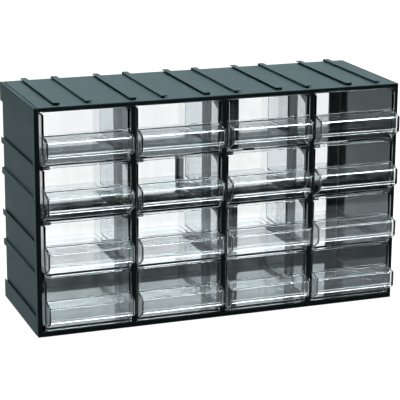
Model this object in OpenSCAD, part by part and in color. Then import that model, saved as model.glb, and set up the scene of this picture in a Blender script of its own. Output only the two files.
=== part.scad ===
// Modular parts cabinet: a dark snap-together housing with clear drawers.
// The housing is made of flat mouldings: four panels, three dividers and a
// rear lattice.  Low hooked rails on the top and on the left side slide into
// channels in the bottom and in the right side of the next cabinet.  The left
// side's rails end at a border that is as proud as they are.
// Origin: middle of the footprint, on the standing surface, pulls included.
// X runs to the right, Y from front to back, Z up.  Millimetres.

/* [Cabinet] */
// Width over everything, with the hooked rails of the left side
cabinet_w = 382; // [340:1:430]
// Height over everything, with the hooked rails of the top
cabinet_h = 230; // [215:1:260]
// Depth of the housing, without the drawer pulls
housing_d = 135; // [125:1:160]

/* [Panels] */
// Thickness of the side panels, with rails and border on the left one
side_t = 4.8; // [4.4:0.1:6]
// Thickness of the top panel
top_t = 4; // [3.4:0.1:5]
// Thickness of the bottom panel
bottom_t = 5; // [4.6:0.1:6]
// Edge of a side panel that stays beside the top and bottom panels
seam_lip = 3.4; // [3:0.1:3.6]
// Side clearance of every panel in its rebate or groove
joint_gap = 0.1; // [0.05:0.05:0.25]
// Depth of the grooves that hold the dividers
groove_depth = 1.2; // [0.8:0.1:1.4]
// Gap above and below a divider's tongue in its groove
tongue_gap = 0.2; // [0.1:0.1:0.3]
// Distance of the divider grooves from the front edge
groove_setback = 5; // [4:0.5:8]
// Radius of the long outer corners of the housing
corner_r = 1; // [0.6:0.1:1.6]

/* [Joining rails] */
// Width over the two hooked rails of a pair
pair_w = 38.2; // [34:0.2:40]
// Height of a rail above its panel
rail_h = 2.2; // [1.8:0.1:2.4]
// Width of a rail's flange
rail_w = 6.2; // [5:0.1:7]
// Width of the foot that carries the flange
rail_foot = 3; // [2.4:0.1:4]
// Thickness of the flange
flange_t = 1.1; // [0.9:0.1:1.2]
// Distance of the rails from the front edge, filled by the left border
rail_setback = 8; // [5:0.5:12]
// Clearance of a rail in the next cabinet's channel
rail_gap = 0.2; // [0.15:0.05:0.3]

/* [Dividers and runners] */
// Thickness of a divider
divider_t = 4.5; // [4:0.1:6]
// Depth of the front post of a divider
post_d = 12.5; // [10:0.5:16]
// Depth of the window between post and strip
window_d = 29; // [22:0.5:34]
// Depth of the strip behind the window
strip_d = 15.5; // [12:0.5:20]
// Length of a corner gusset along the window
gusset_l = 22; // [12:0.5:22]
// Height of a corner gusset along the post
gusset_h = 9; // [5:0.5:14]
// Corner radius of the divider windows
window_r = 1.5; // [1:0.1:3]
// Width of a runner beside its divider or side panel
runner_w = 8.5; // [6:0.5:12]
// Thickness of a runner
runner_t = 3.5; // [2.5:0.1:4.5]
// Height of a runner's top over the line between two rows
runner_rise = 1; // [0.6:0.1:1.6]
// Depth at which the runners end, from the front edge
runner_end = 94; // [80:1:98]

/* [Rear lattice] */
// Thickness of the rear lattice
lattice_t = 4; // [3:0.1:5]
// Width of the lattice's side stiles
stile_w = 13; // [10:0.5:18]
// Height of the lattice's top and bottom rails
edge_rail_h = 11; // [8:0.5:16]
// Height of the two rails between the bands
mid_rail_h = 18; // [12:0.5:20]
// Height of the middle of the lower of these rails above the ground
lower_rail_z = 86; // [78:1:90]
// Height of the middle of the upper of these rails above the ground
upper_rail_z = 146; // [142:1:152]
// Width of the bars in the top and bottom bands
outer_bar_w = 12.5; // [10:0.5:16]
// Width of the bar in the middle band
centre_bar_w = 10; // [8:0.5:14]
// Corner radius of the lattice windows
lattice_r = 3; // [1:0.5:5]

/* [Drawers] */
// Thickness of a drawer's front plate
front_t = 2.2; // [1.8:0.1:2.6]
// Thickness of the tub's walls and floor
wall_t = 1.6; // [1.2:0.1:2]
// Distance of the front plate behind the front edge of the housing
front_inset = 1.2; // [0.6:0.1:2]
// Gap beside a front plate
front_gap_x = 0.4; // [0.3:0.05:0.6]
// Gap above and below a front plate
front_gap_z = 0.6; // [0.4:0.05:0.9]
// Radius of the upper corners of a front plate
front_r = 3; // [1.5:0.5:5]
// Radius of the lower corners of a front plate
front_low_r = 1; // [0.5:0.5:2]
// Gap beside the tub
tub_gap = 1.1; // [0.9:0.1:1.6]
// Gap between the tub's floor and its runners
slide_gap = 0.3; // [0.2:0.05:0.4]
// Gap between the tub's rim and the runners above it
rim_gap = 0.7; // [0.5:0.1:1.2]
// Gap between the front plate and the ends of the runners
stop_gap = 0.3; // [0.2:0.05:0.5]
// Gap between the tub and the rear lattice
rear_gap = 5; // [3:0.5:8]
// Radius of the tub's upright rear corners
tub_r = 4; // [3:0.5:7]
// How far the tub's rim stands out
rim_out = 0.5; // [0.3:0.1:0.6]
// Height of the tub's rim
rim_h = 1.6; // [1:0.1:2.5]

/* [Pulls] */
// How far a pull stands out from the front edge of the housing
pull_out = 13; // [10:0.5:16]
// Height of the pull's lip over the bottom of the front plate
lip_z = 11.5; // [9:0.5:13]
// Height of the pull's label window
label_h = 15.5; // [12:0.5:18]
// Rise of the pull's top shelf from its front edge to the front plate
shelf_rise = 3.5; // [2:0.5:6]
// Thickness of the pull's walls
pull_t = 1.8; // [1.4:0.1:2.2]
// Thickness of the bead along the lip
lip_t = 2.8; // [2.4:0.1:3.4]
// Height of the bead along the lip
lip_h = 2; // [1.4:0.1:3]
// Distance of the pull's ends from the edges of the front plate
pull_inset = 0.8; // [0.4:0.1:2]
// Height at which the pull's cheeks run out on the front plate
cheek_z = 2.5; // [1:0.5:5]
// Height of the bead above the shelf
bead_h = 1.2; // [0.8:0.1:2]
// How far that bead stands out
bead_out = 0.6; // [0.4:0.1:1]

/* [Hidden] */
columns = 4;
rows = 4;
top_pairs = 5;
side_bays = 3;
$fn = 48;
cut = 1;

charcoal = [0.17, 0.19, 0.20];
clear = [0.85, 0.92, 0.94, 0.4];

// Housing planes
left_x = -cabinet_w / 2 + rail_h;
right_x = cabinet_w / 2;
front_y = -(housing_d - pull_out) / 2;
back_y = front_y + housing_d;
body_h = cabinet_h - rail_h;
body_w = right_x - left_x;
floor_z = bottom_t;
ceiling_z = body_h - top_t;
lattice_y = back_y - lattice_t;

// Cells: the first one starts a rail's height inside the left panel's wall
left_wall = side_t - rail_h;
cell_w = (body_w - 2 * side_t - (columns - 1) * divider_t) / columns;
row_pitch = (ceiling_z - floor_z) / rows;
function cell_x(column) = left_x + side_t + column * (cell_w + divider_t);
function row_z(level) = floor_z + level * row_pitch;

// Runners
runner_y = front_y + front_inset + front_t + stop_gap;
runner_back = front_y + runner_end;
strip_back = post_d + window_d + strip_d;

// Joining rails and channels
pair_pitch = body_w / top_pairs;
bay_h = body_h / side_bays;
rail_l = housing_d - rail_setback;
channel_depth = rail_h + rail_gap;
channel_lip = rail_h - flange_t - rail_gap;

// Top and bottom panel, between the rebates of the side panels
cover_x = left_x + seam_lip - rail_h + joint_gap;
cover_w = right_x - seam_lip - joint_gap - cover_x;

// Drawers
plate_w = cell_w - 2 * front_gap_x;
plate_h = row_pitch - 2 * front_gap_z;
plate_back = front_y + front_inset + front_t;
tub_w = cell_w - 2 * tub_gap;
tub_back = lattice_y - rear_gap;
tub_floor = runner_rise + slide_gap;
tub_top = row_pitch + runner_rise - runner_t - rim_gap;
shelf_d = pull_out + front_inset;
shelf_slope = shelf_rise / shelf_d;

// ---------------------------------------------------------------- profiles

// Rectangle with round corners: the four radii run counter-clockwise from
// the lower left corner.
module round_rect(size, radii) {
    corners = [
        [[0, 0], [1, 1]], [[size[0], 0], [-1, 1]],
        [[size[0], size[1]], [-1, -1]], [[0, size[1]], [1, -1]]
    ];
    difference() {
        square(size);
        for (i = [0:3])
            if (radii[i] > 0)
                translate(corners[i][0])
                    scale_signs(corners[i][1]) corner_cut(radii[i]);
    }
}

// What a round corner of radius r takes away at the origin.
module corner_cut(r) {
    difference() {
        translate([-cut, -cut]) square(r + cut);
        translate([r, r]) circle(r);
    }
}

// Mirror a child into the quadrant that the two signs name.
module scale_signs(signs) {
    mirror([signs[0] < 0 ? 1 : 0, 0]) mirror([0, signs[1] < 0 ? 1 : 0]) children();
}

// Extrude an outline that is drawn in X and Z along Y.
module along_y(y, length) {
    translate([0, y + length, 0]) rotate([90, 0, 0]) linear_extrude(length) children();
}

// Extrude an outline that is drawn in Y and Z along X.
module along_x(x, length) {
    translate([x, 0, 0]) rotate([90, 0, 90]) linear_extrude(length) children();
}

// One hooked rail: the foot's inner face is at 0 and the flange points to -X.
module hook() {
    translate([-rail_foot, 0]) square([rail_foot, rail_h]);
    translate([-rail_w, rail_h - flange_t]) square([rail_w, flange_t]);
}

// A pair of hooked rails that point away from each other, around X = 0.
module hook_pair() {
    for (side = [0, 1])
        mirror([side, 0]) translate([rail_w - pair_w / 2, 0]) hook();
}

// Undercut channel that takes a pair of hooked rails, cut down from Z = 0.
module hook_channel() {
    mouth_w = pair_w - 2 * (rail_w - rail_foot) + 2 * rail_gap;
    inner_w = pair_w + 2 * rail_gap;
    translate([-mouth_w / 2, -channel_depth]) square([mouth_w, channel_depth + cut]);
    translate([-inner_w / 2, -channel_depth])
        square([inner_w, channel_depth - channel_lip]);
}

// ------------------------------------------------------------ housing parts

// Plain side panel with rebates for the top and bottom panels.  Its outer
// face is at X = 0, and lip is what stays beside those panels.
module side_blank(thickness, lip, outer_r) {
    difference() {
        along_y(front_y, housing_d)
            round_rect([thickness, body_h], [outer_r, 0, 0, outer_r]);
        translate([lip, front_y - cut, body_h - top_t])
            cube([thickness, housing_d + 2 * cut, top_t + cut]);
        translate([lip, front_y - cut, -cut])
            cube([thickness, housing_d + 2 * cut, bottom_t + cut]);
    }
}

// The runners of one side panel, from its inner face.
module side_runners(inner, width) {
    for (level = [1:rows - 1])
        translate([inner, runner_y, row_z(level) + runner_rise - runner_t])
            cube([width, runner_back - runner_y, runner_t]);
}

module left_side_panel() {
    color(charcoal) translate([left_x, 0, 0]) {
        side_blank(left_wall, seam_lip - rail_h, 0);
        side_runners(left_wall, rail_h + runner_w);
        // Strip that guides the drawers of the first column
        translate([left_wall, front_y + post_d + window_d, floor_z])
            cube([rail_h, strip_d, ceiling_z - floor_z]);
        // Border along the front edge, at which the rails end
        along_y(front_y, rail_setback) translate([-rail_h, 0])
            round_rect([seam_lip, body_h], [corner_r, 0, 0, corner_r]);
        // Hooked rail pairs on the outside, between the bays
        for (bay = [1:side_bays - 1])
            translate([0, 0, bay * bay_h]) along_y(front_y + rail_setback, rail_l)
                rotate(90) hook_pair();
        // Half a pair at the lower and at the upper edge, filled to the corner
        along_y(front_y + rail_setback, rail_l) corner_band();
        translate([0, 0, body_h])
            along_y(front_y + rail_setback, rail_l) mirror([0, 1]) corner_band();
    }
}

// Outer band along a long edge: a solid half pair with its hook upwards.
module corner_band() {
    translate([-rail_h, 0])
        round_rect([flange_t, pair_w / 2], [corner_r, 0, 0, 0]);
    translate([-rail_h + flange_t, 0])
        square([rail_h - flange_t, pair_w / 2 - rail_w + rail_foot]);
}

module right_side_panel() {
    color(charcoal) translate([right_x, 0, 0]) mirror([1, 0, 0]) {
        difference() {
            side_blank(side_t, seam_lip, corner_r);
            // Rebate for the border of the next cabinet
            translate([-cut, front_y - cut, -cut])
                cube([channel_depth + cut, rail_setback + rail_gap + cut, body_h + 2 * cut]);
            for (bay = [0:side_bays])
                translate([0, 0, bay * bay_h])
                    along_y(front_y + rail_setback, rail_l + cut) rotate(90) hook_channel();
        }
        side_runners(side_t, runner_w);
    }
}

// Grooves for the dividers' tongues, cut down from Z = 0.
module divider_grooves() {
    for (column = [1:columns - 1])
        translate([cell_x(column) - divider_t - joint_gap, front_y + groove_setback - joint_gap,
                   -groove_depth])
            cube([divider_t + 2 * joint_gap, strip_back - groove_setback + 2 * joint_gap,
                  groove_depth + cut]);
}

module top_panel() {
    color(charcoal) {
        difference() {
            translate([cover_x, front_y, ceiling_z]) cube([cover_w, housing_d, top_t]);
            translate([0, 0, ceiling_z]) mirror([0, 0, 1]) divider_grooves();
        }
        for (pair = [0:top_pairs - 1])
            translate([left_x + (pair + 0.5) * pair_pitch, 0, body_h])
                along_y(front_y + rail_setback, rail_l) hook_pair();
    }
}

module bottom_panel() {
    color(charcoal) {
        difference() {
            translate([cover_x, front_y, 0]) cube([cover_w, housing_d, bottom_t]);
            translate([0, 0, floor_z]) divider_grooves();
            for (pair = [0:top_pairs - 1])
                translate([left_x + (pair + 0.5) * pair_pitch, 0, 0])
                    along_y(front_y + rail_setback - rail_gap, rail_l + rail_gap + cut)
                        mirror([0, 1]) hook_channel();
        }
        // Low runners for the lowest row
        for (column = [0:columns - 1], side = [0, 1])
            translate([cell_x(column) + joint_gap
                       + side * (cell_w - runner_w - 2 * joint_gap), runner_y, floor_z])
                cube([runner_w, runner_back - runner_y, runner_rise]);
    }
}

// Outline of a divider in depth and height: a post, windows and a strip.
module divider_outline() {
    difference() {
        square([strip_back, ceiling_z - floor_z]);
        for (level = [0:rows - 1]) divider_window(level);
    }
}

// One window of a divider, with the gusset left standing in its front corner.
module divider_window(level) {
    low = level * row_pitch + runner_rise;
    high = (level + 1) * row_pitch + (level < rows - 1 ? runner_rise - runner_t : -runner_t);
    difference() {
        translate([post_d, low])
            round_rect([window_d, high - low], [window_r, window_r, window_r, 0]);
        translate([post_d, high])
            polygon([[-cut, cut], [-cut, -gusset_h], [0, -gusset_h], [gusset_l, 0],
                     [gusset_l, cut]]);
    }
}

// Divider between two columns, counted from 1 at the left.
module divider(column) {
    tongue_h = groove_depth - tongue_gap;
    color(charcoal) translate([cell_x(column) - divider_t, front_y, 0]) {
        along_x(0, divider_t) translate([0, floor_z]) divider_outline();
        for (z = [floor_z - tongue_h, ceiling_z])
            translate([0, groove_setback, z])
                cube([divider_t, strip_back - groove_setback, tongue_h]);
        // Runners to both sides, which reach back behind the strip
        for (level = [1:rows - 1])
            translate([-runner_w, runner_y - front_y,
                       row_z(level) + runner_rise - runner_t])
                cube([divider_t + 2 * runner_w, runner_back - runner_y, runner_t]);
    }
}

module left_divider() { divider(1); }
module centre_divider() { divider(2); }
module right_divider() { divider(3); }

// Window of the rear lattice, centred on x, between two heights.
module lattice_window(x, width, low, high) {
    translate([x - width / 2, low])
        round_rect([width, high - low], [lattice_r, lattice_r, lattice_r, lattice_r]);
}

module rear_lattice() {
    inner_x = left_x + left_wall + joint_gap;
    inner_w = right_x - side_t - joint_gap - inner_x;
    middle_x = left_x + body_w / 2;
    clear_w = body_w - 2 * (side_t + joint_gap + stile_w);
    outer_w = (clear_w - 2 * outer_bar_w) / 3;
    half_w = (clear_w - centre_bar_w) / 2;
    color(charcoal) along_y(lattice_y, lattice_t) difference() {
        translate([inner_x, floor_z]) square([inner_w, ceiling_z - floor_z]);
        for (i = [-1:1]) {
            lattice_window(middle_x + i * (outer_w + outer_bar_w), outer_w,
                           floor_z + edge_rail_h, lower_rail_z - mid_rail_h / 2);
            lattice_window(middle_x + i * (outer_w + outer_bar_w), outer_w,
                           upper_rail_z + mid_rail_h / 2, ceiling_z - edge_rail_h);
        }
        for (side = [-1, 1])
            lattice_window(middle_x + side * (half_w + centre_bar_w) / 2, half_w,
                           lower_rail_z + mid_rail_h / 2, upper_rail_z - mid_rail_h / 2);
    }
}

// ------------------------------------------------------------------ drawers

// Tub outline seen from above, grown by a margin on three sides.
module tub_outline(margin) {
    r = tub_r + margin;
    translate([tub_gap - margin, plate_back])
        round_rect([tub_w + 2 * margin, tub_back - plate_back + margin], [0, 0, r, r]);
}

module tub() {
    difference() {
        union() {
            translate([0, 0, tub_floor]) linear_extrude(tub_top - tub_floor) tub_outline(0);
            translate([0, 0, tub_top - rim_h]) linear_extrude(rim_h) tub_outline(rim_out);
        }
        translate([0, 0, tub_floor + wall_t])
            linear_extrude(row_pitch) tub_outline(-wall_t);
    }
}

// Side view of the pull's shell: shelf, label window and beaded lip.
module pull_shell() {
    lip = front_gap_z + lip_z;
    brow = lip + label_h;
    shelf_t = pull_t * sqrt(1 + shelf_slope * shelf_slope);
    polygon([
        [shelf_d, brow + shelf_rise], [0, brow], [0, lip],
        [lip_t, lip], [lip_t, lip + lip_h], [pull_t, lip + lip_h + lip_t - pull_t],
        [pull_t, brow + pull_t * shelf_slope - shelf_t], [shelf_d, brow + shelf_rise - shelf_t]
    ]);
}

// Side view of one of the pull's cheeks.
module pull_cheek() {
    lip = front_gap_z + lip_z;
    brow = lip + label_h;
    polygon([
        [shelf_d, brow + shelf_rise], [0, brow], [0, lip],
        [shelf_d, front_gap_z + cheek_z]
    ]);
}

module pull() {
    x = front_gap_x + pull_inset;
    width = plate_w - 2 * pull_inset;
    translate([0, front_y - pull_out, 0]) {
        along_x(x, width) pull_shell();
        for (side = [0, 1])
            along_x(x + side * (width - pull_t), pull_t) pull_cheek();
    }
    // Bead above the shelf
    translate([x, front_y + front_inset - bead_out,
               front_gap_z + lip_z + label_h + shelf_rise])
        cube([width, bead_out, bead_h]);
}

// Drawer of one cell: row 1 is the top row, column 1 the left one.
module drawer(row, column) {
    color(clear) translate([cell_x(column - 1), 0, row_z(rows - row)]) {
        along_y(front_y + front_inset, front_t)
            translate([front_gap_x, front_gap_z])
                round_rect([plate_w, plate_h], [front_low_r, front_low_r, front_r, front_r]);
        tub();
        pull();
    }
}

left_side_panel();
right_side_panel();
top_panel();
bottom_panel();
left_divider();
centre_divider();
right_divider();
rear_lattice();
drawer(1, 1);  // drawer_row1_col1
drawer(1, 2);  // drawer_row1_col2
drawer(1, 3);  // drawer_row1_col3
drawer(1, 4);  // drawer_row1_col4
drawer(2, 1);  // drawer_row2_col1
drawer(2, 2);  // drawer_row2_col2
drawer(2, 3);  // drawer_row2_col3
drawer(2, 4);  // drawer_row2_col4
drawer(3, 1);  // drawer_row3_col1
drawer(3, 2);  // drawer_row3_col2
drawer(3, 3);  // drawer_row3_col3
drawer(3, 4);  // drawer_row3_col4
drawer(4, 1);  // drawer_row4_col1
drawer(4, 2);  // drawer_row4_col2
drawer(4, 3);  // drawer_row4_col3
drawer(4, 4);  // drawer_row4_col4
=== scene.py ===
"""Modular parts cabinet: a dark snap-together housing with sixteen clear drawers.

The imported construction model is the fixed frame.  Each of its mouldings is
redrawn here with rounded edges and a moulded plastic finish, the hooked
joining rails are grown by geometry nodes, and everything rides on the body
that it belongs to.  All lengths are metres, in the frame of the model: X to
the right, Y from the drawer fronts to the back, Z up.
"""
import logging
import math
from contextlib import contextmanager
from dataclasses import dataclass, field
from enum import Enum
from itertools import combinations, product
from typing import Any, Iterator, Sequence

import bmesh
import bpy
from mathutils import Matrix, Vector


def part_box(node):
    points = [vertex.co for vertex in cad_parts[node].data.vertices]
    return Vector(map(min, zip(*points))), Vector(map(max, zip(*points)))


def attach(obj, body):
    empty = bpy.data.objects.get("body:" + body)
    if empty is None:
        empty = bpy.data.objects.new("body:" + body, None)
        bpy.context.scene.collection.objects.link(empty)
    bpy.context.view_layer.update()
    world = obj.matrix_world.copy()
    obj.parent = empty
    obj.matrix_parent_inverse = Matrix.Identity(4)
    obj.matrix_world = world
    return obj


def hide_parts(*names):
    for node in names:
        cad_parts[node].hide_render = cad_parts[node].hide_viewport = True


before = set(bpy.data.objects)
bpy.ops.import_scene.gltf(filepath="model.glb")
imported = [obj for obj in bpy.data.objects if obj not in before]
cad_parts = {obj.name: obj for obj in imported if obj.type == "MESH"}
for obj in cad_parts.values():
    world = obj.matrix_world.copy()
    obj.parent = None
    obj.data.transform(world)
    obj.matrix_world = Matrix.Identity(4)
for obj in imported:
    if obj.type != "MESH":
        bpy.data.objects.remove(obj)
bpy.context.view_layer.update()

LOG = logging.getLogger("parts_cabinet")
MM = 0.001

Colour = tuple[float, float, float]
Place = tuple[float, float, float]
Span = tuple[float, float]


# ------------------------------------------------------------------ node trees


class Mixed(Enum):
    """What a mix node mixes: its data type, its two inputs and its output."""

    NUMBERS = ("FLOAT", 2, 3, 0)
    COLOURS = ("RGBA", 6, 7, 2)


@dataclass
class NodeSketch:
    """Adds nodes to a tree and joins them in one call.

    Attributes:
        tree: The node tree that is being drawn.
    """

    tree: bpy.types.NodeTree

    def add(self, kind: str, settings: dict[str, Any] | None = None,
            inputs: dict[str | int, Any] | None = None) -> bpy.types.Node:
        """Add one node, with its settings and its inputs.

        Args:
            kind: The node's type.
            settings: Values for the node's own properties.
            inputs: A value or a socket to link from, by input name or number.

        Returns:
            The new node.
        """
        node = self.tree.nodes.new(kind)
        for name, value in (settings or {}).items():
            setattr(node, name, value)
        for key, value in (inputs or {}).items():
            self.feed(node.inputs[key], value)
        return node

    def feed(self, socket: bpy.types.NodeSocket, value: Any) -> None:
        """Link a socket into another one, or set it to a value.

        Args:
            socket: The input to fill.
            value: An output socket, or a plain value.
        """
        if isinstance(value, bpy.types.NodeSocket):
            self.tree.links.new(value, socket)
        else:
            socket.default_value = value

    def math(self, operation: str, first: Any, second: Any) -> bpy.types.NodeSocket:
        """Add a math node.

        Args:
            operation: What it works out, such as ADD.
            first: Its first number or socket.
            second: Its second number or socket.

        Returns:
            The result's socket.
        """
        node = self.add("ShaderNodeMath", {"operation": operation}, {0: first, 1: second})
        return node.outputs[0]

    def vector(self, x: Any = 0.0, y: Any = 0.0, z: Any = 0.0) -> bpy.types.NodeSocket:
        """Add a vector made of three numbers or sockets, and return its socket."""
        return self.add("ShaderNodeCombineXYZ", inputs={0: x, 1: y, 2: z}).outputs[0]

    def mix(self, kind: Mixed, share: bpy.types.NodeSocket, first: Any,
            second: Any) -> bpy.types.NodeSocket:
        """Add a mix node.

        Args:
            kind: What it mixes.
            share: How much of the second value it takes.
            first: Its first value or socket.
            second: Its second value or socket.

        Returns:
            The result's socket.
        """
        data_type, one, two, result = kind.value
        node = self.add("ShaderNodeMix", {"data_type": data_type},
                        {0: share, one: first, two: second})
        return node.outputs[result]

    def ramp(self, value: bpy.types.NodeSocket, span: Span, levels: tuple[Any, Any],
             smooth: bool = False) -> bpy.types.NodeSocket:
        """Turn a value into a ramp between two levels.

        Args:
            value: The value's socket.
            span: The values where the ramp starts and ends.
            levels: The levels before and after it, as numbers or sockets.
            smooth: Whether the ramp starts and ends gently.

        Returns:
            The ramp's socket.
        """
        kind = "SMOOTHSTEP" if smooth else "LINEAR"
        return self.add("ShaderNodeMapRange", {"interpolation_type": kind}, {
            "Value": value, "From Min": span[0], "From Max": span[1],
            "To Min": levels[0], "To Max": levels[1]}).outputs[0]


# -------------------------------------------------------------------- finishes


class Slot(Enum):
    """The record's material slots."""

    HOUSING = "charcoal_plastic"
    DRAWERS = "clear_plastic"


def new_material(name: str) -> tuple[bpy.types.Material, NodeSketch, bpy.types.Node]:
    """Make a material with an empty tree and its output.

    Args:
        name: The material's name.

    Returns:
        The material, a sketch of its tree, and the output node.
    """
    material = bpy.data.materials.new(name)
    material.use_nodes = True
    material.node_tree.nodes.clear()
    sketch = NodeSketch(material.node_tree)
    return material, sketch, sketch.add("ShaderNodeOutputMaterial")


@dataclass(frozen=True)
class Mottle:
    """Noise that fills the space of a piece, from which its finish varies.

    Attributes:
        size: Size of its largest spots.
        detail: Number of finer layers that lie over them.
        rough: Strength of each layer beside the one before it.
    """

    size: float
    detail: float
    rough: float = 0.5

    def draw(self, sketch: NodeSketch) -> bpy.types.NodeSocket:
        """Add the noise in the piece's own frame.

        Args:
            sketch: The material's sketch.

        Returns:
            The noise's value, from 0 to 1.
        """
        place = sketch.add("ShaderNodeTexCoord").outputs["Object"]
        return sketch.add("ShaderNodeTexNoise", inputs={
            "Vector": place, "Scale": 1 / self.size, "Detail": self.detail,
            "Roughness": self.rough}).outputs[0]


@dataclass(frozen=True)
class Relief:
    """Fine unevenness of a surface.

    Attributes:
        pattern: Its pattern.
        depth: Its depth.
        strength: Share of that depth that shows.
    """

    pattern: Mottle
    depth: float
    strength: float

    def draw(self, sketch: NodeSketch) -> bpy.types.NodeSocket:
        """Add the relief and return the normal that it gives the surface."""
        return sketch.add("ShaderNodeBump", inputs={
            "Strength": self.strength, "Distance": self.depth,
            "Height": self.pattern.draw(sketch)}).outputs[0]


@dataclass(frozen=True)
class CharcoalPlastic:
    """Satin charcoal plastic with a fine moulded grain.

    Attributes:
        dark: Colour of the plastic.
        pale: Colour where the surface is a little rubbed or dusty.
        roughness: Least and most roughness.
        specular: Share of the usual mirror reflection.
        ior: Index of refraction.
        clouds: The slow changes in colour and sheen.
        pale_span: Values of the clouds between which the colour turns pale.
        sheen_span: Values of the clouds between which the roughness grows.
        grain: The moulded grain.
    """

    dark: Colour = (0.067, 0.100, 0.105)
    pale: Colour = (0.080, 0.116, 0.121)
    roughness: Span = (0.36, 0.44)
    specular: float = 0.15
    ior: float = 1.5
    clouds: Mottle = Mottle(size=38 * MM, detail=4.0, rough=0.6)
    pale_span: Span = (0.35, 0.7)
    sheen_span: Span = (0.3, 0.7)
    grain: Relief = Relief(Mottle(size=0.9 * MM, detail=2.0), depth=0.02 * MM, strength=0.6)

    def make(self) -> bpy.types.Material:
        """Build the material.

        Returns:
            The finished material.
        """
        material, sketch, output = new_material("charcoal_plastic_moulded")
        clouds = self.clouds.draw(sketch)
        colour = sketch.mix(Mixed.COLOURS, sketch.ramp(clouds, self.pale_span, (0.0, 1.0)),
                            (*self.dark, 1), (*self.pale, 1))
        shader = sketch.add("ShaderNodeBsdfPrincipled", inputs={
            "Base Color": colour,
            "Roughness": sketch.ramp(clouds, self.sheen_span, self.roughness),
            "IOR": self.ior, "Specular IOR Level": self.specular,
            "Normal": self.grain.draw(sketch)})
        sketch.feed(output.inputs["Surface"], shader.outputs[0])
        return material


@dataclass(frozen=True)
class ClearPolystyrene:
    """Colourless clear plastic, slightly wavy as moulded.

    Attributes:
        tint: What one face lets through.
        ior: Index of refraction.
        roughness: Blur of what shows through.
        waves: The slow waves that the mould leaves.
    """

    tint: Colour = (0.968, 0.975, 0.977)
    ior: float = 1.55
    roughness: float = 0.02
    waves: Relief = Relief(
        Mottle(size=16 * MM, detail=2.0, rough=0.4), depth=0.03 * MM, strength=0.5)

    def make(self) -> bpy.types.Material:
        """Build the material: glass that lets lamps through.

        Returns:
            The finished material.
        """
        material, sketch, output = new_material("clear_polystyrene")
        glass = sketch.add("ShaderNodeBsdfPrincipled", inputs={
            "Base Color": (*self.tint, 1), "Roughness": self.roughness, "IOR": self.ior,
            "Transmission Weight": 1.0, "Normal": self.waves.draw(sketch)})
        path = sketch.add("ShaderNodeLightPath")
        clear = sketch.add("ShaderNodeBsdfTransparent", inputs={"Color": (*self.tint, 1)})
        mix = sketch.add("ShaderNodeMixShader", inputs={
            0: path.outputs["Is Shadow Ray"], 1: glass.outputs[0], 2: clear.outputs[0]})
        sketch.feed(output.inputs["Surface"], mix.outputs[0])
        return material


# ------------------------------------------------------------------- mouldings


WELD_GAP = 0.003 * MM  # corners that lie nearer than this are one
FLAT_ANGLE = math.radians(0.6)  # triangles that turn less than this are one flat face
OVERCUT = 1 * MM  # how far a cutting box stands out of the plate that it cuts


class Change(Enum):
    """What a second object does to a piece."""

    ADD = "UNION"
    CUT = "DIFFERENCE"


def new_object(name: str, data: bpy.types.ID) -> bpy.types.Object:
    """Make an object for a mesh, a lamp or a camera and link it to the scene.

    Args:
        name: The object's name.
        data: The mesh, lamp or camera.

    Returns:
        The new object, at the origin.
    """
    thing = bpy.data.objects.new(name, data)
    bpy.context.scene.collection.objects.link(thing)
    return thing


@contextmanager
def editing(mesh: bpy.types.Mesh) -> Iterator[bmesh.types.BMesh]:
    """Open a mesh for changes and write them back at the end.

    Args:
        mesh: The mesh, which may be empty.

    Yields:
        The mesh in its editable form.
    """
    work = bmesh.new()
    work.from_mesh(mesh)
    yield work
    work.to_mesh(mesh)
    work.free()


def tidy_copy(node: str, name: str) -> bpy.types.Object:
    """Copy a node's mesh into a new object with merged corners and whole faces.

    Args:
        node: The node of the construction model.
        name: Name of the new object.

    Returns:
        The new object, linked to the scene.
    """
    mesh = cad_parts[node].data.copy()
    mesh.name = name
    mesh.materials.clear()
    piece = new_object(name, mesh)
    weld(piece)
    return piece


def weld(piece: bpy.types.Object, whole_faces: bool = True) -> None:
    """Merge the corners of a mesh that lie together.

    Args:
        piece: The object to clean.
        whole_faces: Whether the triangles of each flat face are joined into one.
    """
    with editing(piece.data) as work:
        bmesh.ops.remove_doubles(work, verts=work.verts, dist=WELD_GAP)
        if whole_faces:
            bmesh.ops.dissolve_limit(work, angle_limit=FLAT_ANGLE, verts=work.verts,
                                     edges=work.edges, use_dissolve_boundaries=False)


def cut_box(piece: bpy.types.Object, low: Sequence[float], high: Sequence[float]) -> None:
    """Cut a box out of a piece.

    Args:
        piece: The object to cut.
        low: The box's lowest corner.
        high: The box's highest corner.
    """
    size = Vector(high) - Vector(low)
    mesh = bpy.data.meshes.new("cutter")
    with editing(mesh) as work:
        bmesh.ops.create_cube(work, size=1.0)
        bmesh.ops.scale(work, vec=size, verts=work.verts)
        bmesh.ops.translate(work, vec=Vector(low) + size / 2, verts=work.verts)
    combine(piece, new_object("cutter", mesh), Change.CUT)


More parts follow.
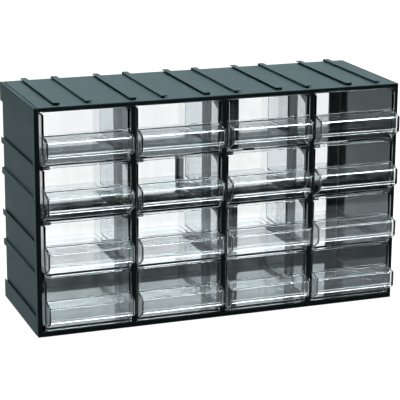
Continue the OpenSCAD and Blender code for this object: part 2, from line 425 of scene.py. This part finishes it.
@dataclass(frozen=True)
class EdgeRounding:
    """Rounds the sharp edges of a moulding, each as far as its faces leave room.

    Attributes:
        radius: Radius of the edges that have room for it.
        steps: Faces across each rounded edge.
        least_angle: Edges that turn less than this, in degrees, stay as they are.
        least_length: Edges shorter than this, round tight corners, stay sharp.
        share: Share of the way to a facing edge that the rounding may take.
        facing: Cosine of the turn from which two sides of a face count as facing.
    """

    radius: float
    steps: int = 2
    least_angle: float = 25.0
    least_length: float = 0.0
    share: float = 0.45
    facing: float = -0.2

    def apply(self, piece: bpy.types.Object) -> None:
        """Round a piece.

        Args:
            piece: The object to finish.
        """
        with editing(piece.data) as work:
            layer = work.edges.layers.float.new("bevel_weight_edge")
            for edge, room in self._rooms(work).items():
                edge[layer] = room / self.radius
        bevel = piece.modifiers.new("edges", "BEVEL")
        bevel.width = self.radius
        bevel.segments = self.steps
        bevel.limit_method = "WEIGHT"
        bevel.use_clamp_overlap = False
        bevel.loop_slide = False
        apply_modifiers(piece)
        weld(piece, whole_faces=False)

    def _rooms(self, work: bmesh.types.BMesh) -> dict[bmesh.types.BMEdge, float]:
        """Find the radius that each sharp edge can take.

        Args:
            work: The mesh.

        Returns:
            The radius for each sharp edge.
        """
        least = math.radians(self.least_angle)
        sharp = {edge for edge in work.edges if edge.calc_face_angle(0.0) > least}
        rooms = {edge: self.radius for edge in sharp}
        for face in work.faces:
            sides = [loop for loop in face.loops if loop.edge in sharp]
            for one, other in combinations(sides, 2):
                gap = self._facing_gap(one, other)
                if gap is not None:
                    for edge in (one.edge, other.edge):
                        rooms[edge] = min(rooms[edge], gap * self.share)
        return {edge: room if edge.calc_length() > self.least_length else 0.0
                for edge, room in rooms.items()}

    def _facing_gap(self, one: bmesh.types.BMLoop,
                    other: bmesh.types.BMLoop) -> float | None:
        """Measure the gap between two sides of a face that run opposite ways.

        Args:
            one: The first side.
            other: The second side.

        Returns:
            Their distance, or None where they don't face or have a common corner.
        """
        ends = [(loop.vert.co, loop.link_loop_next.vert.co) for loop in (one, other)]
        ways = [(end - start).normalized() for start, end in ends]
        if ways[0].dot(ways[1]) > self.facing:
            return None
        gaps = []
        for points, (start, end) in ((ends[0], ends[1]), (ends[1], ends[0])):
            side = end - start
            for point in points:
                along = (point - start).dot(side) / side.length_squared
                gaps.append((point - start - side * min(1.0, max(0.0, along))).length)
        return min(gaps) or None


def shade_evenly(piece: bpy.types.Object, crease: float = 50.0) -> None:
    """Give a piece smooth shading that leaves its flat faces flat.

    Args:
        piece: The object to finish.
        crease: Edges that turn more than this, in degrees, are shaded as sharp.
    """
    with editing(piece.data) as work:
        for face in work.faces:
            face.smooth = True
        for edge in work.edges:
            edge.smooth = edge.calc_face_angle(0.0) < math.radians(crease)
    shading = piece.modifiers.new("shading", "WEIGHTED_NORMAL")
    shading.keep_sharp = True
    apply_modifiers(piece)


def apply_modifiers(piece: bpy.types.Object) -> None:
    """Turn a piece with live modifiers into a plain mesh.

    Args:
        piece: The object to finish.
    """
    graph = bpy.context.evaluated_depsgraph_get()
    plain = bpy.data.meshes.new_from_object(piece.evaluated_get(graph))
    plain.name = piece.data.name
    piece.modifiers.clear()
    piece.data = plain


def combine(piece: bpy.types.Object, other: bpy.types.Object, change: Change) -> None:
    """Add another closed object to a piece or take it away, and remove that object.

    Args:
        piece: The object that stays.
        other: The object that is used up.
        change: Whether it is added or taken away.
    """
    solid = piece.modifiers.new("change", "BOOLEAN")
    solid.operation = change.value
    solid.solver = "EXACT"
    solid.object = other
    apply_modifiers(piece)
    weld(piece)
    bpy.data.objects.remove(other)


def set_material(piece: bpy.types.Object, material: bpy.types.Material) -> None:
    """Give a whole piece one material.

    Args:
        piece: The object to dress.
        material: Its material.
    """
    piece.data.materials.clear()
    piece.data.materials.append(material)


# --------------------------------------------------------------- joining rails


@dataclass(frozen=True)
class RailRow:
    """A row of pairs of hooked rails.

    Attributes:
        count: Number of pairs.
        pitch: Distance between the middles of two pairs.
        foot_offset: Distance of a foot's inner face from the middle of its pair.
        foot_w: Width of a foot.
        flange_w: Width of a flange, from the foot's inner face.
        height: Height of a rail.
        flange_t: Thickness of a flange.
        length: Length of the rails.
        edge_r: Radius of the long edges.
    """

    count: int
    pitch: float
    foot_offset: float
    foot_w: float
    flange_w: float
    height: float
    flange_t: float
    length: float
    edge_r: float


class RailTree:
    """Geometry nodes that draw a RailRow in its own frame.

    The rails run along +Y from Y = 0 and stand on Z = 0, and the row is
    centred on X = 0.

    Attributes:
        CORNER_STEPS: Faces across a rounded corner of the section.
        MERGE_GAP: Corners of a rail that lie nearer than this are one.
        INPUTS: Label and kind of the input that stands for each field of a row.
        tree: The node tree.
        keys: Identifier of the input that stands for each field of a row.
        material_key: Identifier of the material's input.
    """

    CORNER_STEPS = 2
    MERGE_GAP = 0.001 * MM
    INPUTS: dict[str, tuple[str, str]] = {
        "count": ("Pair Count", "NodeSocketInt"),
        "pitch": ("Pair Pitch", "NodeSocketFloat"),
        "foot_offset": ("Foot Offset", "NodeSocketFloat"),
        "foot_w": ("Foot Width", "NodeSocketFloat"),
        "flange_w": ("Flange Width", "NodeSocketFloat"),
        "height": ("Rail Height", "NodeSocketFloat"),
        "flange_t": ("Flange Thickness", "NodeSocketFloat"),
        "length": ("Rail Length", "NodeSocketFloat"),
        "edge_r": ("Edge Radius", "NodeSocketFloat"),
    }

    def __init__(self) -> None:
        """Draw the tree once, for all rows."""
        self.tree = bpy.data.node_groups.new("hooked_rails", "GeometryNodeTree")
        self.tree.is_modifier = True
        sides = self.tree.interface
        sides.new_socket("Geometry", in_out="INPUT", socket_type="NodeSocketGeometry")
        self.keys = {
            name: sides.new_socket(label, in_out="INPUT", socket_type=kind).identifier
            for name, (label, kind) in self.INPUTS.items()
        }
        self.material_key = sides.new_socket(
            "Material", in_out="INPUT", socket_type="NodeSocketMaterial").identifier
        sides.new_socket("Geometry", in_out="OUTPUT", socket_type="NodeSocketGeometry")
        self._draw(NodeSketch(self.tree))

    def _draw(self, sketch: NodeSketch) -> None:
        """Draw the nodes: section, rail, pair, row.

        Args:
            sketch: The tree's sketch.
        """
        given = sketch.add("NodeGroupInput").outputs
        rail = self._rail(sketch, self._section(sketch, given), given)
        moved = sketch.add("GeometryNodeTransform", inputs={
            "Geometry": rail, "Translation": sketch.vector(x=given["Foot Offset"])})
        mirrored = sketch.add("GeometryNodeTransform", inputs={
            "Geometry": moved.outputs[0], "Scale": (-1.0, 1.0, 1.0)})
        turned = sketch.add("GeometryNodeFlipFaces", inputs={0: mirrored.outputs[0]})
        pair = sketch.add("GeometryNodeJoinGeometry", inputs={0: moved.outputs[0]})
        sketch.feed(pair.inputs[0], turned.outputs[0])
        row = sketch.add("GeometryNodeInstanceOnPoints", inputs={
            "Points": self._middles(sketch, given), "Instance": pair.outputs[0]})
        real = sketch.add("GeometryNodeRealizeInstances", inputs={0: row.outputs[0]})
        dressed = sketch.add("GeometryNodeSetMaterial", inputs={
            "Geometry": real.outputs[0], "Material": given["Material"]})
        sketch.add("NodeGroupOutput", inputs={0: dressed.outputs[0]})

    def _section(self, sketch: NodeSketch, given: Any) -> bpy.types.NodeSocket:
        """Draw the closed L-shaped section of a rail, with rounded corners.

        Args:
            sketch: The tree's sketch.
            given: The tree's inputs.

        Returns:
            The section's curve.
        """
        foot, flange, top = given["Foot Width"], given["Flange Width"], given["Rail Height"]
        under = sketch.math("SUBTRACT", top, given["Flange Thickness"])
        corners = [(0.0, 0.0), (foot, 0.0), (foot, under), (flange, under), (flange, top),
                   (0.0, top)]
        choice = sketch.add("GeometryNodeIndexSwitch", {"data_type": "VECTOR"})
        while len(choice.index_switch_items) < len(corners):
            choice.index_switch_items.new()
        sketch.feed(choice.inputs[0], sketch.add("GeometryNodeInputIndex").outputs[0])
        for number, (x, z) in enumerate(corners, start=1):
            sketch.feed(choice.inputs[number], sketch.vector(x=x, z=z))
        points = sketch.add("GeometryNodePoints", inputs={
            "Count": len(corners), "Position": choice.outputs[0]})
        outline = sketch.add("GeometryNodePointsToCurves", inputs={0: points.outputs[0]})
        closed = sketch.add("GeometryNodeSetSplineCyclic", inputs={
            "Geometry": outline.outputs[0], "Cyclic": True})
        rounded = sketch.add("GeometryNodeFilletCurve", {"mode": "POLY"}, {
            "Curve": closed.outputs[0], "Count": self.CORNER_STEPS,
            "Radius": given["Edge Radius"], "Limit Radius": True})
        return rounded.outputs[0]

    def _rail(self, sketch: NodeSketch, section: bpy.types.NodeSocket,
              given: Any) -> bpy.types.NodeSocket:
        """Fill the section and draw it out along Y.

        Args:
            sketch: The tree's sketch.
            section: The section's curve, in the XZ plane.
            given: The tree's inputs.

        Returns:
            The closed mesh of one rail.
        """
        # Curves are filled in the XY plane, so the section lies down for that.
        flat = sketch.add("GeometryNodeTransform", inputs={
            "Geometry": section, "Rotation": (math.radians(-90), 0.0, 0.0)})
        filled = sketch.add("GeometryNodeFillCurve", {"mode": "NGONS"}, {
            0: flat.outputs[0]})
        upright = sketch.add("GeometryNodeTransform", inputs={
            "Geometry": filled.outputs[0], "Rotation": (math.radians(90), 0.0, 0.0)})
        drawn = sketch.add("GeometryNodeExtrudeMesh", inputs={
            "Mesh": upright.outputs[0], "Offset": sketch.vector(y=1.0),
            "Offset Scale": given["Rail Length"], "Individual": False})
        turned = sketch.add("GeometryNodeFlipFaces", inputs={0: drawn.outputs[0]})
        both = sketch.add("GeometryNodeJoinGeometry", inputs={0: turned.outputs[0]})
        sketch.feed(both.inputs[0], upright.outputs[0])
        merged = sketch.add("GeometryNodeMergeByDistance", inputs={
            "Geometry": both.outputs[0], "Distance": self.MERGE_GAP})
        return merged.outputs[0]

    @staticmethod
    def _middles(sketch: NodeSketch, given: Any) -> bpy.types.NodeSocket:
        """Place a point in the middle of each pair.

        Args:
            sketch: The tree's sketch.
            given: The tree's inputs.

        Returns:
            The points.
        """
        count, pitch = given["Pair Count"], given["Pair Pitch"]
        length = sketch.math("MULTIPLY", sketch.math("SUBTRACT", count, 1.0), pitch)
        line = sketch.add("GeometryNodeMeshLine", {"mode": "OFFSET"}, {
            "Count": count,
            "Start Location": sketch.vector(x=sketch.math("MULTIPLY", length, -0.5)),
            "Offset": sketch.vector(x=pitch)})
        return line.outputs[0]

    def grow(self, row: RailRow, name: str, place: Matrix,
             material: bpy.types.Material) -> bpy.types.Object:
        """Run the tree for one row and return a plain mesh in its place.

        Args:
            row: The row's sizes.
            name: Name of the new object.
            place: Where the row's own frame lies in the model's frame.
            material: The rails' material.

        Returns:
            The rails as one object at the origin.
        """
        piece = new_object(name, bpy.data.meshes.new(name))
        grower = piece.modifiers.new("rails", "NODES")
        grower.node_group = self.tree
        for field_name, key in self.keys.items():
            grower[key] = getattr(row, field_name)
        grower[self.material_key] = material
        apply_modifiers(piece)
        piece.data.transform(place)
        return piece


# --------------------------------------------------------------------- housing


@dataclass
class Housing:
    """The eight charcoal mouldings that never move.

    Attributes:
        finish: The plastic's material.
        edge_r: Radius of the mouldings' edges.
        tight_corner: Edges of the dividers shorter than this stay sharp.
        rail_pair_w: Width over the two hooked rails of a pair.
        rail_w: Width of a rail's flange.
        rail_foot: Width of a rail's foot.
        rail_edge_r: Radius of a rail's long edges.
        flange_t: Thickness of a flange.
        rail_setback: Distance of the rails from the front edge.
        top_pairs: Pairs of rails on the top.
        side_bays: Bays between the pairs on the left side.
        seam: Width and depth of the open seams beside the top panel.
        body: Name of the body that all these pieces ride on.
        rails: The tree that grows the rails.
        front_y: Plane of the front edges.
        back_y: Plane of the back.
        left_x: Plane of the left wall behind its border.
        right_x: Plane of the right wall.
        body_h: Height of the housing without its rails.
        rail_h: Height of the rails.
    """

    finish: bpy.types.Material
    edge_r: float = 0.55 * MM
    tight_corner: float = 0.3 * MM
    rail_pair_w: float = 38.2 * MM
    rail_w: float = 6.2 * MM
    rail_foot: float = 3 * MM
    rail_edge_r: float = 0.25 * MM
    flange_t: float = 0.7 * MM
    rail_setback: float = 8 * MM
    top_pairs: int = 5
    side_bays: int = 3
    seam: Span = (0.5 * MM, 1.2 * MM)
    body: str = "housing"
    rails: RailTree = field(default_factory=RailTree)
    front_y: float = field(init=False)
    back_y: float = field(init=False)
    left_x: float = field(init=False)
    right_x: float = field(init=False)
    body_h: float = field(init=False)
    rail_h: float = field(init=False)

    DIVIDERS = ("left_divider", "centre_divider", "right_divider")
    PLAIN = ("right_side_panel", "bottom_panel", *DIVIDERS, "rear_lattice")
    # Turns a row of rails that stands on a floor to stand on a wall that faces left.
    ONTO_LEFT_WALL = Matrix(((0, 0, -1, 0), (0, 1, 0, 0), (1, 0, 0, 0), (0, 0, 0, 1)))

    def __post_init__(self) -> None:
        """Read the housing's planes from the frame."""
        low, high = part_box("right_side_panel")
        self.front_y, self.back_y = low.y, high.y
        self.right_x, self.body_h = high.x, high.z
        self.rail_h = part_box("top_panel")[1].z - self.body_h
        self.left_x = self.rail_h - self.right_x

    def build(self) -> None:
        """Build all the mouldings and dress them."""
        for node in self.PLAIN:
            piece = tidy_copy(node, f"{node}_moulding")
            tight = self.tight_corner if node in self.DIVIDERS else 0.0
            EdgeRounding(self.edge_r, least_length=tight).apply(piece)
            self._seat(piece, node)
        self._top_panel()
        self._left_panel()

    def _row(self, count: int, pitch: float, **changes: float) -> RailRow:
        """Describe a row of rails with the housing's section.

        Args:
            count: Number of pairs.
            pitch: Distance between their middles.
            **changes: Fields that differ from the usual section.

        Returns:
            The row.
        """
        usual = {
            "foot_offset": self.rail_pair_w / 2 - self.rail_w, "foot_w": self.rail_foot,
            "flange_w": self.rail_w, "height": self.rail_h, "flange_t": self.flange_t,
            "length": self.back_y - self.front_y - self.rail_setback,
            "edge_r": self.rail_edge_r,
        }
        return RailRow(count=count, pitch=pitch, **{**usual, **changes})

    def _top_panel(self) -> None:
        """Build the top panel: a plate with a seam at each end and a row of rails."""
        plate = tidy_copy("top_panel", "top_panel_moulding")
        low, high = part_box("top_panel")
        over = Vector((OVERCUT, OVERCUT, OVERCUT))
        cut_box(plate, (*(low - over).xy, self.body_h), high + over)
        seam_w, seam_d = self.seam
        for x in (low.x - OVERCUT, high.x - seam_w):
            cut_box(plate, (x, low.y - OVERCUT, self.body_h - seam_d),
                    (x + OVERCUT + seam_w, high.y + OVERCUT, self.body_h + OVERCUT))
        EdgeRounding(self.edge_r).apply(plate)
        place = Matrix.Translation(((self.right_x + self.left_x) / 2,
                                    self.front_y + self.rail_setback, self.body_h))
        pitch = (self.right_x - self.left_x) / self.top_pairs
        rows = self.rails.grow(self._row(self.top_pairs, pitch), "top_rails", place,
                               self.finish)
        combine(plate, rows, Change.ADD)
        self._seat(plate, "top_panel")

    def _left_panel(self) -> None:
        """Build the left panel: a bordered plate with two pairs of rails and two bands."""
        plate = tidy_copy("left_side_panel", "left_side_panel_moulding")
        behind = self.front_y + self.rail_setback
        cut_box(plate, (self.left_x - self.rail_h - OVERCUT, behind, -OVERCUT),
                (self.left_x, self.back_y + OVERCUT, self.body_h + OVERCUT))
        EdgeRounding(self.edge_r).apply(plate)
        place = Matrix.Translation((
            self.left_x, behind, self.body_h / 2)) @ self.ONTO_LEFT_WALL
        pairs = self.rails.grow(self._row(self.side_bays - 1, self.body_h / self.side_bays),
                                "side_rails", place, self.finish)
        half_pair = self.rail_pair_w / 2
        bands = self.rails.grow(
            self._row(1, 0.0, foot_offset=-self.body_h / 2, flange_w=half_pair,
                      foot_w=half_pair - self.rail_w + self.rail_foot),
            "side_bands", place, self.finish)
        for rails in (pairs, bands):
            combine(plate, rails, Change.ADD)
        self._seat(plate, "left_side_panel")

    def _seat(self, piece: bpy.types.Object, node: str) -> None:
        """Shade and dress a piece, and let it ride on the housing in its node's place.

        Args:
            piece: The finished piece.
            node: The node that it replaces.
        """
        shade_evenly(piece)
        set_material(piece, self.finish)
        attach(piece, self.body)
        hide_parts(node)
        LOG.info("%s: %d faces", piece.name, len(piece.data.polygons))


# --------------------------------------------------------------------- drawers


@dataclass
class DrawerSet:
    """The clear drawers: one moulding, repeated in every cell.

    Attributes:
        finish: The clear plastic's material.
        rows: Rows of drawers, counted from the top.
        columns: Columns of drawers, counted from the left.
        edge_r: Radius of the drawers' edges.
        edge_steps: Faces across each rounded edge.
        tight_corner: Edges shorter than this stay sharp.
    """

    finish: bpy.types.Material
    rows: int = 4
    columns: int = 4
    edge_r: float = 0.5 * MM
    edge_steps: int = 3
    tight_corner: float = 0.5 * MM

    def build(self) -> None:
        """Build every drawer and let it ride on its own body."""
        first = self.node(1, 1)
        pattern = tidy_copy(first, "drawer_pattern")
        EdgeRounding(self.edge_r, steps=self.edge_steps,
                     least_length=self.tight_corner).apply(pattern)
        shade_evenly(pattern)
        set_material(pattern, self.finish)
        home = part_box(first)[0]
        for row, column in product(range(1, self.rows + 1), range(1, self.columns + 1)):
            node = self.node(row, column)
            mesh = pattern.data.copy()
            mesh.transform(Matrix.Translation(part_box(node)[0] - home))
            piece = new_object(f"{node}_moulding", mesh)
            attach(piece, node)
            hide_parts(node)
            LOG.info("%s: %d faces", piece.name, len(mesh.polygons))
        bpy.data.objects.remove(pattern)

    @staticmethod
    def node(row: int, column: int) -> str:
        """Name the node, which is also the body, of one drawer."""
        return f"drawer_row{row}_col{column}"


# ---------------------------------------------------------------------- studio


@dataclass(frozen=True)
class ProductCamera:
    """The camera, in front of the cabinet, to its left and above it.

    Attributes:
        place: Where it stands.
        yaw: Turn to the right of +Y, in degrees.
        pitch: Tilt below the horizon, in degrees.
        roll: Turn about its own axis, in degrees.
        focal_pixels: Focal length in pixels of the square frame.
        frame_pixels: Width of the frame in pixels.
        sensor_w: Width of the sensor, in millimetres.
        clip: The nearest and the furthest that it sees.
    """

    place: Place = (-0.565, -1.526, 0.555)
    yaw: float = 20.25
    pitch: float = 15.42
    roll: float = 0.38
    focal_pixels: float = 1644.0
    frame_pixels: float = 400.0
    sensor_w: float = 36.0
    clip: Span = (0.05, 100.0)

    def make(self) -> None:
        """Add the camera to the scene and look through it."""
        yaw, pitch, roll = (math.radians(a) for a in (self.yaw, self.pitch, self.roll))
        ahead = Vector((math.sin(yaw) * math.cos(pitch), math.cos(yaw) * math.cos(pitch),
                        -math.sin(pitch)))
        level = Vector((math.cos(yaw), -math.sin(yaw), 0))
        upward = level.cross(ahead)
        right = level * math.cos(roll) + upward * math.sin(roll)
        upward = right.cross(ahead)
        lens = bpy.data.cameras.new("product_camera")
        lens.sensor_width = self.sensor_w
        lens.lens = self.focal_pixels * self.sensor_w / self.frame_pixels
        lens.clip_start, lens.clip_end = self.clip
        camera = new_object("product_camera", lens)
        camera.matrix_world = Matrix.Translation(self.place) @ Matrix(
            (right, upward, -ahead)).transposed().to_4x4()
        bpy.context.scene.camera = camera


@dataclass(frozen=True)
class Softbox:
    """One large soft lamp.

    Attributes:
        name: The lamp's name.
        place: Where it hangs.
        aim: The point that it faces.
        size: Its width and height.
        watts: Its power.
    """

    name: str
    place: Place
    aim: Place
    size: Span
    watts: float

    def make(self) -> None:
        """Hang the lamp."""
        data = bpy.data.lights.new(self.name, "AREA")
        data.shape = "RECTANGLE"
        data.size, data.size_y = self.size
        data.energy = self.watts
        lamp = new_object(self.name, data)
        lamp.location = self.place
        way = Vector(self.aim) - Vector(self.place)
        lamp.rotation_euler = way.to_track_quat("-Z", "Y").to_euler()


class RaySplit:
    """Tells apart who asks for light: the eye, a reflection, or a matt surface.

    The eye's part holds for what is seen straight and through clear plastic.

    Attributes:
        WHITE: Colour of the light that is seen straight.
        COOL: Colour of the light in reflections.
        sketch: The tree's sketch.
        mirrored: 1 in a reflection, and else 0.
        bounced: 1 for a matt surface, and else 0.
    """

    WHITE = (1.0, 1.0, 1.0)
    COOL = (0.91, 1.0, 1.02)

    def __init__(self, sketch: NodeSketch) -> None:
        """Add the nodes that count a ray's bounces.

        Args:
            sketch: The tree's sketch.
        """
        self.sketch = sketch
        path = sketch.add("ShaderNodeLightPath").outputs
        self.mirrored = sketch.math("MINIMUM", path["Glossy Depth"], 1.0)
        self.bounced = sketch.math("MINIMUM", path["Diffuse Depth"], 1.0)

    def pick(self, straight: Any, mirrored: Any, bounced: Any) -> bpy.types.NodeSocket:
        """Choose a value by the ray that asks.

        Args:
            straight: Value for what is seen straight or through clear plastic.
            mirrored: Value for reflections.
            bounced: Value for the light that matt surfaces get.

        Returns:
            The chosen value's socket.
        """
        shown = self.sketch.mix(Mixed.NUMBERS, self.mirrored, straight, mirrored)
        return self.sketch.mix(Mixed.NUMBERS, self.bounced, shown, bounced)

    def tint(self) -> bpy.types.NodeSocket:
        """Colour the light: white where it is seen straight, cool in reflections."""
        return self.sketch.mix(Mixed.COLOURS, self.mirrored, (*self.WHITE, 1),
                               (*self.COOL, 1))


@dataclass(frozen=True)
class Paper:
    """White sheet that glows a little, so that it stays white under soft light.

    Attributes:
        name: Name of the material and of the sheet.
        glow: Light that it sends to the eye by itself.
        matt: Share of the falling light that it scatters, which holds the shadows.
        mirrored: How bright it is in reflections.
        bounced: How bright it is for matt surfaces.
    """

    name: str
    glow: float
    matt: float
    mirrored: float
    bounced: float

    def make(self) -> bpy.types.Material:
        """Build the material.

        Returns:
            The finished material.
        """
        material, sketch, output = new_material(self.name)
        seen = RaySplit(sketch)
        glow = sketch.add("ShaderNodeEmission", inputs={
            "Color": seen.tint(),
            "Strength": seen.pick(self.glow, self.mirrored, self.bounced)})
        share = seen.pick(self.matt, 0.0, 0.0)
        grey = sketch.add("ShaderNodeCombineColor", inputs={0: share, 1: share, 2: share})
        matt = sketch.add("ShaderNodeBsdfDiffuse", inputs={"Color": grey.outputs[0]})
        both = sketch.add("ShaderNodeAddShader", inputs={
            0: glow.outputs[0], 1: matt.outputs[0]})
        sketch.feed(output.inputs["Surface"], both.outputs[0])
        return material


@dataclass(frozen=True)
class Surroundings:
    """The room, drawn apart for the eye, for reflections and for matt surfaces.

    The eye sees an even white.  Matt surfaces get soft light from behind, less
    of it from above and hardly any from the front.  Reflections show walls that
    darken towards the horizon, a brighter wall in front, and a lamp overhead.
    A span is measured in the part of a direction that points back or up, and a
    lean is the share of the upward part that is added to the backward one.

    Attributes:
        white: Brightness of the room where it is seen straight.
        dome: Soft light on matt surfaces from behind.
        dome_front: The same from the front and the sides.
        dome_span: Backward parts between which the one changes to the other.
        dome_lean: Lean of that change.
        wall: Brightness of the walls in reflections.
        wall_span: Upward parts between which they brighten.
        horizon: Share of the walls' brightness that is left at the horizon.
        front: Brightness of the wall in front, in reflections.
        front_span: Upward parts between which it brightens, from nothing.
        turn_span: Backward parts between which it changes to the other walls.
        turn_lean: Lean of that change.
        lamp: Brightness of the lamp overhead in reflections.
        lamp_span: Upward parts between which it brightens.
        lamp_end: Backward parts between which it fades.
    """

    white: float = 0.8
    dome: float = 1.0
    dome_front: float = 0.05
    dome_span: Span = (0.1, 0.5)
    dome_lean: float = 0.2
    wall: float = 1.05
    wall_span: Span = (0.2, 0.36)
    horizon: float = 0.3
    front: float = 2.2
    front_span: Span = (0.05, 0.3)
    turn_span: Span = (-0.2, 0.3)
    turn_lean: float = 0.3
    lamp: float = 8.0
    lamp_span: Span = (0.62, 0.78)
    lamp_end: Span = (0.1, 0.35)

    def make(self) -> None:
        """Set up the world."""
        world = bpy.data.worlds.new("studio")
        bpy.context.scene.world = world
        world.use_nodes = True
        # The room is too soft to need a map of its bright parts.
        world.cycles.sampling_method = "NONE"
        world.node_tree.nodes.clear()
        sketch = NodeSketch(world.node_tree)
        way = sketch.add("ShaderNodeTexCoord").outputs["Generated"]
        _, back, up = sketch.add("ShaderNodeSeparateXYZ", inputs={0: way}).outputs
        seen = RaySplit(sketch)
        light = sketch.add("ShaderNodeBackground", inputs={
            "Color": seen.tint(),
            "Strength": seen.pick(self.white, self._mirrored(sketch, back, up),
                                  self._dome(sketch, back, up))})
        sketch.add("ShaderNodeOutputWorld", inputs={"Surface": light.outputs[0]})

    def _dome(self, sketch: NodeSketch, back: bpy.types.NodeSocket,
              up: bpy.types.NodeSocket) -> bpy.types.NodeSocket:
        """Draw the light that matt surfaces get.

        Args:
            sketch: The room's sketch.
            back: How far a direction points back.
            up: How far it points up.

        Returns:
            Its brightness in that direction.
        """
        lean = sketch.math("ADD", back, sketch.math("MULTIPLY", up, self.dome_lean))
        return sketch.ramp(lean, self.dome_span, (self.dome_front, self.dome), smooth=True)

    def _mirrored(self, sketch: NodeSketch, back: bpy.types.NodeSocket,
                  up: bpy.types.NodeSocket) -> bpy.types.NodeSocket:
        """Draw the room that reflections show.

        Args:
            sketch: The room's sketch.
            back: How far a direction points back.
            up: How far it points up.

        Returns:
            Its brightness in that direction.
        """
        behind = sketch.ramp(up, self.wall_span, (self.horizon * self.wall, self.wall),
                             smooth=True)
        ahead = sketch.ramp(up, self.front_span, (0.0, self.front), smooth=True)
        lean = sketch.math("ADD", back, sketch.math("MULTIPLY", up, self.turn_lean))
        walls = sketch.ramp(lean, self.turn_span, (ahead, behind), smooth=True)
        lamp = sketch.math(
            "MULTIPLY", sketch.ramp(up, self.lamp_span, (0.0, self.lamp), smooth=True),
            sketch.ramp(back, self.lamp_end, (1.0, 0.0), smooth=True))
        return sketch.math("ADD", walls, lamp)


@dataclass(frozen=True)
class Studio:
    """White table in a white room with soft light.

    Attributes:
        table_x: Where the table ends on the left and on the right.
        table_y: Where it ends in front and behind.
        floor_half: Half the width of the pale floor around it.
        papers: The white sheets of the table and of the floor.
        lamp: The lamp that draws the soft shadow.
        view: How the light is turned into colours.
        look: The contrast that is added to them.
    """

    table_x: Span = (-0.8, 0.8)
    table_y: Span = (-0.4, 1.2)
    floor_half: float = 12.0
    papers: tuple[Paper, Paper] = (
        Paper("table_top", glow=0.69, matt=0.18, mirrored=0.5, bounced=0.0),
        Paper("studio_floor", glow=0.69, matt=0.18, mirrored=0.03, bounced=0.0))
    lamp: Softbox = Softbox("overhead_softbox", place=(-0.2, 0.5, 1.5), aim=(0.0, 0.1, 0.1),
                            size=(1.4, 1.0), watts=1.2)
    view: str = "Standard"
    look: str = "High Contrast"

    # Light passes many clear walls one behind the other before it reaches the back.
    BOUNCES = {"max_bounces": 24, "transmission_bounces": 24,
               "transparent_max_bounces": 48, "glossy_bounces": 12}

    def build(self) -> None:
        """Set up floor, surroundings, lamp, camera and colour."""
        self._floor()
        Surroundings().make()
        self.lamp.make()
        ProductCamera().make()
        scene = bpy.context.scene
        scene.view_settings.view_transform = self.view
        scene.view_settings.look = self.look
        for name, count in self.BOUNCES.items():
            setattr(scene.cycles, name, count)

    def _floor(self) -> None:
        """Lay the table as the middle of nine fields, and the floor as the others."""
        xs = (-self.floor_half, *self.table_x, self.floor_half)
        ys = (-self.floor_half, *self.table_y, self.floor_half)
        for paper, is_table in zip(self.papers, (True, False)):
            sheet = new_object(paper.name, bpy.data.meshes.new(paper.name))
            with editing(sheet.data) as work:
                for i, j in product(range(3), repeat=2):
                    if ((i, j) == (1, 1)) == is_table:
                        corners = ((xs[i], ys[j]), (xs[i + 1], ys[j]),
                                   (xs[i + 1], ys[j + 1]), (xs[i], ys[j + 1]))
                        work.faces.new([work.verts.new((x, y, 0.0)) for x, y in corners])
            set_material(sheet, paper.make())


# ------------------------------------------------------------------------ main


def main() -> None:
    """Build the cabinet in its studio."""
    logging.basicConfig(level=logging.INFO, format="%(name)s: %(message)s")
    Studio().build()
    Housing(CharcoalPlastic().make()).build()
    DrawerSet(ClearPolystyrene().make()).build()


if __name__ == "__main__":
    main()
